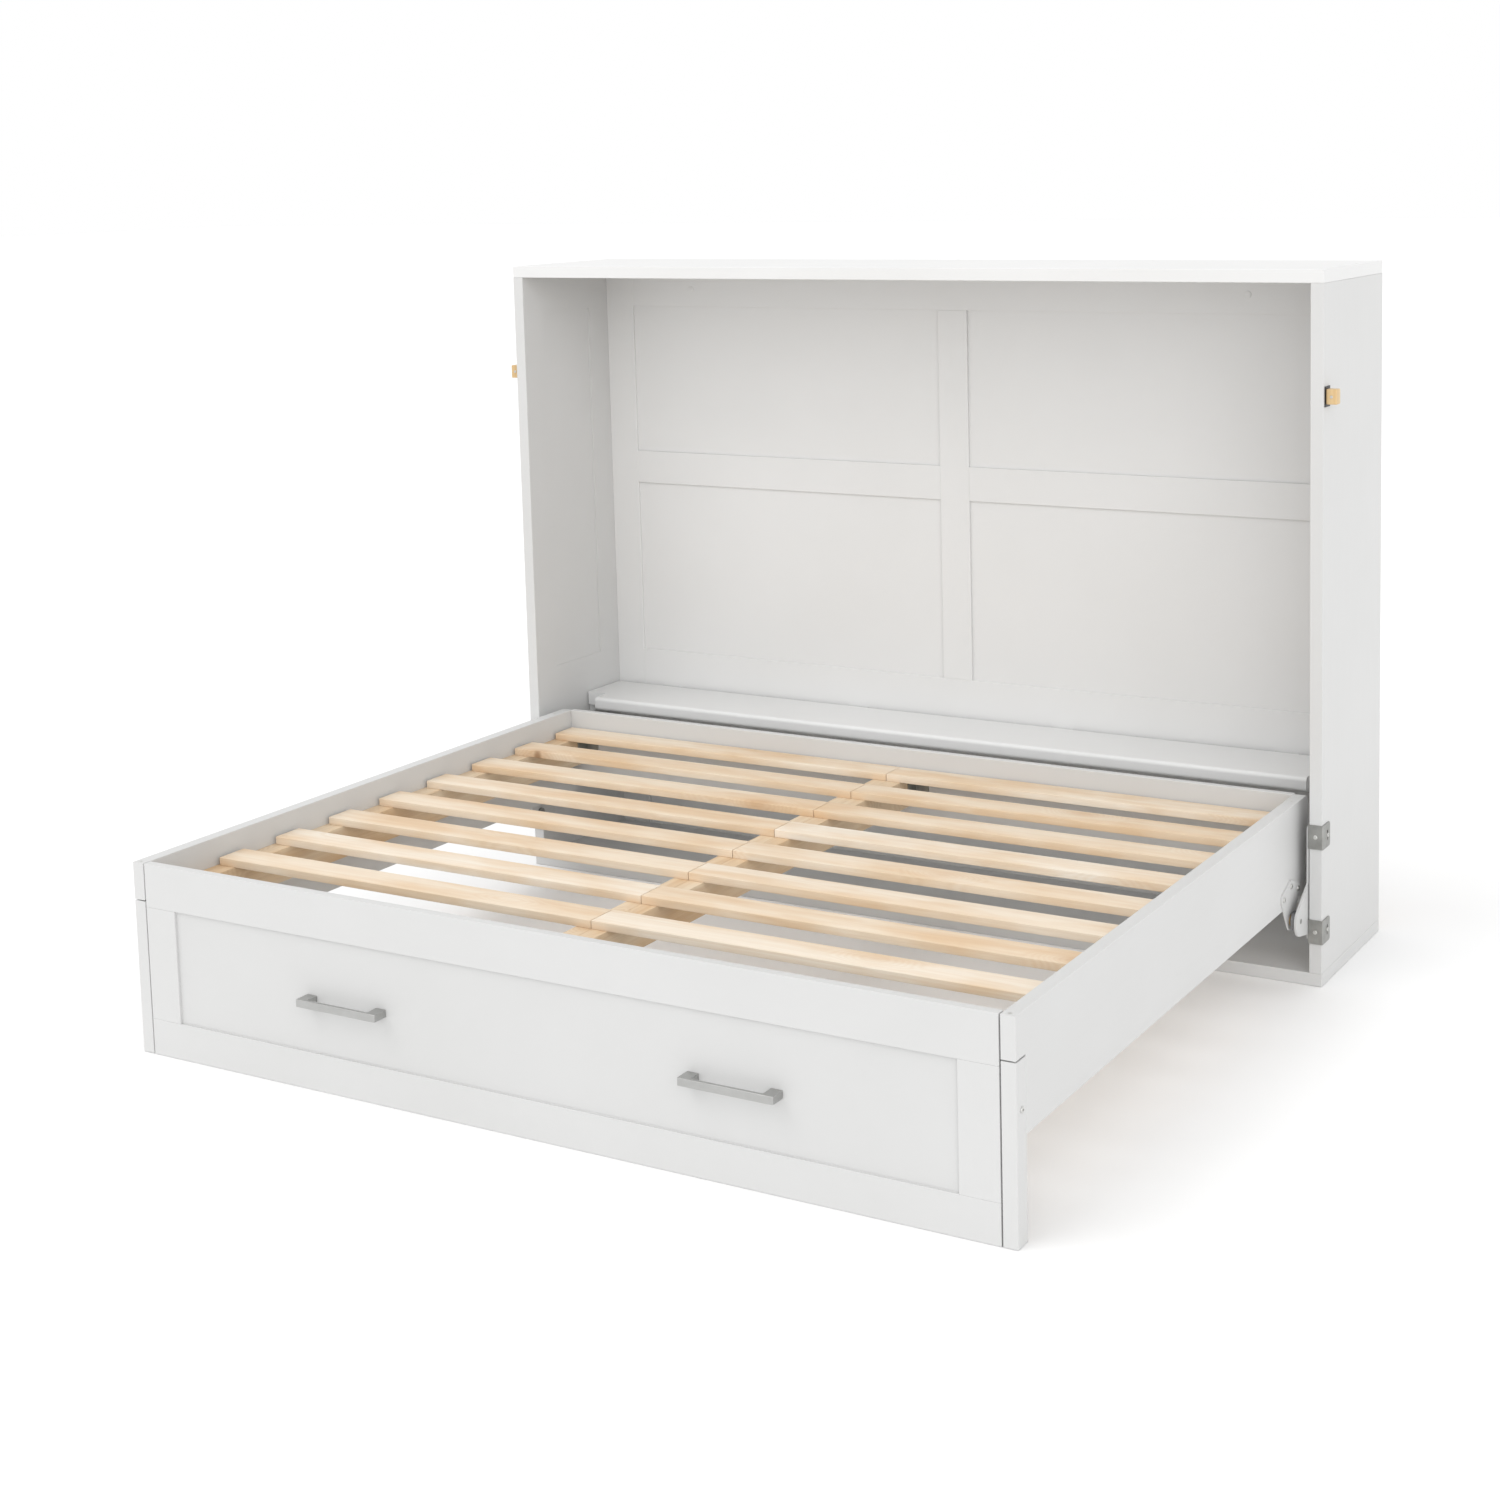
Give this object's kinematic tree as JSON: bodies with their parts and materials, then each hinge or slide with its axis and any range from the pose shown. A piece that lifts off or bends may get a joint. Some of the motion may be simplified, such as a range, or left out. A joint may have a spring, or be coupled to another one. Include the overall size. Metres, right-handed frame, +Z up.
{
  "type": "murphy wall bed",
  "caption": "Horizontal wall bed: open shaker cabinet with a slatted bed frame that tips up on pivot pins, and a folding rear ledge.",
  "frame": {"origin": "on the floor, under the middle of the whole bed with the frame lowered", "axes": "+X along the wall to the right, +Y into the wall, +Z up; the foot board faces -Y"},
  "size_m": [2.278, 1.952, 1.634],
  "materials": {
    "white_paint": "satin white lacquer on solid and engineered wood boards",
    "white_panel": "satin white lacquer on flat panel",
    "slat_pine": "planed, unfinished pine",
    "frame_timber": "planed softwood, unfinished",
    "block_oak": "oiled hardwood",
    "bracket_steel": "zinc-plated pressed steel",
    "white_steel": "white powder-coated steel",
    "dark_steel": "black oxide steel",
    "pull_nickel": "satin nickel",
    "spring_steel": "oiled spring wire",
    "bush_bronze": "sintered bronze",
    "screw_zinc": "bright zinc-plated"
  },
  "bodies": {
    "cabinet": {"back_bottom_rail": "white_paint", "back_centre_stile": "white_paint", "back_left_stile": "white_paint", "back_middle_rails": "white_paint", "back_right_stile": "white_paint", "back_sheet": "white_panel", "back_top_rail": "white_paint", "bottom_board": "white_paint", "cabinet_screws": "screw_zinc", "ledge_cleats": "white_paint", "ledge_hinge_fixed_leaves": "white_steel", "ledge_hinge_pins": "dark_steel", "left_hinge_plate": "white_steel", "left_lift_spring": "spring_steel", "left_pivot_pin": "bracket_steel", "left_side_block": "block_oak", "left_side_panel": "white_paint", "lower_left_edge_bracket": "bracket_steel", "lower_right_edge_bracket": "bracket_steel", "right_hinge_plate": "white_steel", "right_lift_spring": "spring_steel", "right_pivot_pin": "bracket_steel", "right_side_block": "block_oak", "right_side_panel": "white_paint", "side_block_plates": "dark_steel", "top_board": "white_paint", "upper_left_edge_bracket": "bracket_steel", "upper_right_edge_bracket": "bracket_steel", "wall_nailers": "frame_timber"},
    "bed_frame": {"beam_brackets": "bracket_steel", "bed_screws": "screw_zinc", "foot_bottom_rail": "white_paint", "foot_field": "white_panel", "foot_left_stile": "white_paint", "foot_right_stile": "white_paint", "foot_top_rail": "white_paint", "left_centre_batten": "frame_timber", "left_handle": "pull_nickel", "left_ledger": "frame_timber", "left_leg": "white_paint", "left_pivot_plate": "white_steel", "left_side_rail": "white_paint", "pivot_bushes": "bush_bronze", "rear_rail": "white_paint", "right_centre_batten": "frame_timber", "right_handle": "pull_nickel", "right_ledger": "frame_timber", "right_leg": "white_paint", "right_pivot_plate": "white_steel", "right_side_rail": "white_paint", "slat_row_1": "slat_pine", "slat_row_2": "slat_pine", "slat_row_3": "slat_pine", "slat_row_4": "slat_pine", "slat_row_5": "slat_pine", "slat_row_6": "slat_pine", "slat_row_7": "slat_pine", "slat_row_8": "slat_pine"},
    "ledge": {"ledge_board": "white_paint", "ledge_hinge_moving_leaves": "white_steel"}
  },
  "joints": [
    {"name": "bed_fold", "type": "hinge", "parent": "cabinet", "child": "bed_frame", "pos_m": [0, 0.4865, 0.1655], "axis": [-1, 0, 0], "range_deg": [0, 90]},
    {"name": "ledge_fold", "type": "hinge", "parent": "cabinet", "child": "ledge", "pos_m": [0, 0.9115, 0.435], "axis": [-1, 0, 0], "range_deg": [0, 90]}
  ]
}
